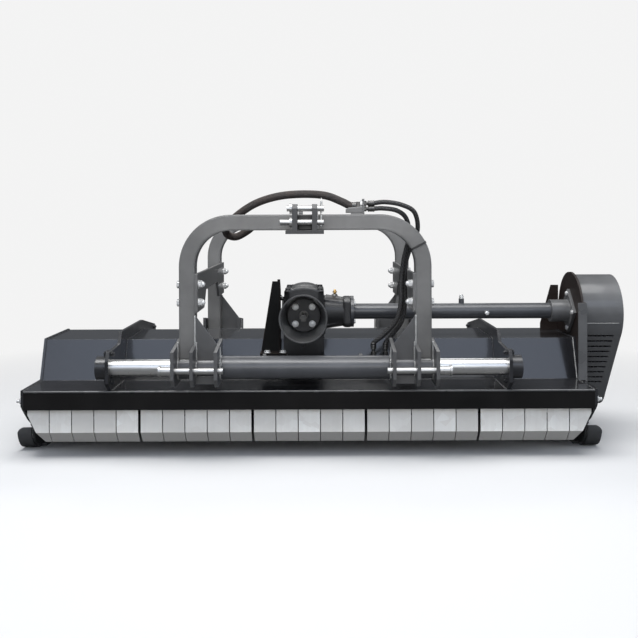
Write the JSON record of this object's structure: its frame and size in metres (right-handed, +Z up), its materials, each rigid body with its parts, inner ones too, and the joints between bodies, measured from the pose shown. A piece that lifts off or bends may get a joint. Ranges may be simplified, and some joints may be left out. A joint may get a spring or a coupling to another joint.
{
  "type": "flail mower",
  "caption": "Tractor flail mower with a folded steel hood, front stone flaps, swinging hammers on a belt-driven rotor, and a hitch frame that slides sideways.",
  "frame": {"origin": "on the ground under the middle of the machine's box", "axes": "+X to the belt side, +Y from the flaps to the roller, +Z up"},
  "size_m": [2.835, 1.205, 1.2055],
  "materials": {
    "black_paint": "gloss black paint",
    "grey_paint": "satin grey paint",
    "dark_paint": "semi-gloss dark grey paint",
    "galvanised": "galvanised",
    "zinc": "bright zinc",
    "chrome": "hard chrome",
    "casting": "black painted casting",
    "steel": "machined steel",
    "rubber": "matt",
    "plastic": "moulded",
    "bronze": "plain bearing bronze"
  },
  "bodies": {
    "deck": {"hood_shell": "black_paint", "left_end_plate": "black_paint", "right_end_plate": "black_paint", "front_beam": "black_paint", "flap_rod": "zinc", "left_skid": "dark_paint", "right_skid": "dark_paint", "left_slide_bracket": "black_paint", "right_slide_bracket": "black_paint", "front_slide_tube": "chrome", "rear_slide_tube": "chrome", "tube_caps": "black_paint", "gearbox_pedestal": "black_paint", "gearbox_case": "casting", "input_flanges": "casting", "pto_guards": "plastic", "gearbox_bracket": "black_paint", "drive_tube": "dark_paint", "drive_bearing": "dark_paint", "belt_back_plate": "black_paint", "belt_guard": "dark_paint", "v_belts": "rubber", "rotor_bearings": "casting", "roller_brackets": "dark_paint", "cylinder_rod": "chrome", "deck_bolts": "zinc"},
    "carriage": {"front_sleeve": "grey_paint", "rear_sleeve": "grey_paint", "slide_bushes": "bronze", "front_arch": "grey_paint", "rear_arch": "grey_paint", "left_link_plate": "grey_paint", "right_link_plate": "grey_paint", "front_top_hitch": "grey_paint", "rear_top_hitch": "grey_paint", "hitch_pins": "zinc", "linch_pins": "zinc", "frame_bolts": "zinc", "cylinder_barrel": "black_paint", "hose_bulkhead": "grey_paint", "hose_fittings": "zinc", "cylinder_hoses": "rubber", "tractor_hose": "rubber"},
    "pto_shaft": {"pto_shaft": "steel", "bevel_gear": "steel"},
    "drive_shaft": {"drive_shaft": "steel", "drive_pulley": "steel"},
    "rotor": {"rotor": "dark_paint", "rotor_pulley": "steel", "hammer_bolts": "zinc"},
    "hammers_1": {"hammers_1": "steel"},
    "hammers_2": {"hammers_2": "steel"},
    "hammers_3": {"hammers_3": "steel"},
    "hammers_4": {"hammers_4": "steel"},
    "roller": {"rear_roller": "dark_paint"},
    "flaps_1": {"flap_bay_1": "galvanised"},
    "flaps_2": {"flap_bay_2": "galvanised"},
    "flaps_3": {"flap_bay_3": "galvanised"},
    "flaps_4": {"flap_bay_4": "galvanised"},
    "flaps_5": {"flap_bay_5": "galvanised"}
  },
  "joints": [
    {"name": "side_shift", "type": "slide", "parent": "deck", "child": "carriage", "axis": [1, 0, 0], "range_m": [-0.255, 0.255]},
    {"name": "rotor_spin", "type": "hinge", "parent": "deck", "child": "rotor", "pos_m": [-0.0625, 0.1075, 0.25], "axis": [1, 0, 0], "continuous": true},
    {"name": "drive_spin", "type": "hinge", "parent": "deck", "child": "drive_shaft", "pos_m": [-0.0625, -0.0825, 0.622], "axis": [1, 0, 0], "continuous": true},
    {"name": "pto_spin", "type": "hinge", "parent": "deck", "child": "pto_shaft", "pos_m": [-0.0895, -0.0825, 0.622], "axis": [0, 1, 0], "continuous": true},
    {"name": "roller_spin", "type": "hinge", "parent": "deck", "child": "roller", "pos_m": [-0.0625, 0.4175, 0.08], "axis": [1, 0, 0], "continuous": true},
    {"name": "hammers_1_swing", "type": "hinge", "parent": "rotor", "child": "hammers_1", "pos_m": [-0.0625, 0.0283, 0.3292], "axis": [1, 0, 0], "range_deg": [-90, 90]},
    {"name": "hammers_2_swing", "type": "hinge", "parent": "rotor", "child": "hammers_2", "pos_m": [-0.0625, 0.0283, 0.1708], "axis": [1, 0, 0], "range_deg": [-90, 90]},
    {"name": "hammers_3_swing", "type": "hinge", "parent": "rotor", "child": "hammers_3", "pos_m": [-0.0625, 0.1867, 0.1708], "axis": [1, 0, 0], "range_deg": [-90, 90]},
    {"name": "hammers_4_swing", "type": "hinge", "parent": "rotor", "child": "hammers_4", "pos_m": [-0.0625, 0.1867, 0.3292], "axis": [1, 0, 0], "range_deg": [-90, 90]},
    {"name": "flaps_1_swing", "type": "hinge", "parent": "deck", "child": "flaps_1", "pos_m": [-0.0625, -0.4545, 0.268], "axis": [1, 0, 0], "range_deg": [0, 70]},
    {"name": "flaps_2_swing", "type": "hinge", "parent": "deck", "child": "flaps_2", "pos_m": [-0.0625, -0.4545, 0.268], "axis": [1, 0, 0], "range_deg": [0, 70]},
    {"name": "flaps_3_swing", "type": "hinge", "parent": "deck", "child": "flaps_3", "pos_m": [-0.0625, -0.4545, 0.268], "axis": [1, 0, 0], "range_deg": [0, 70]},
    {"name": "flaps_4_swing", "type": "hinge", "parent": "deck", "child": "flaps_4", "pos_m": [-0.0625, -0.4545, 0.268], "axis": [1, 0, 0], "range_deg": [0, 70]},
    {"name": "flaps_5_swing", "type": "hinge", "parent": "deck", "child": "flaps_5", "pos_m": [-0.0625, -0.4545, 0.268], "axis": [1, 0, 0], "range_deg": [0, 70]}
  ],
  "couplings": [
    {"joint": "drive_spin", "follows": "rotor_spin", "ratio": 0.76923},
    {"joint": "pto_spin", "follows": "rotor_spin", "ratio": 0.25641}
  ]
}
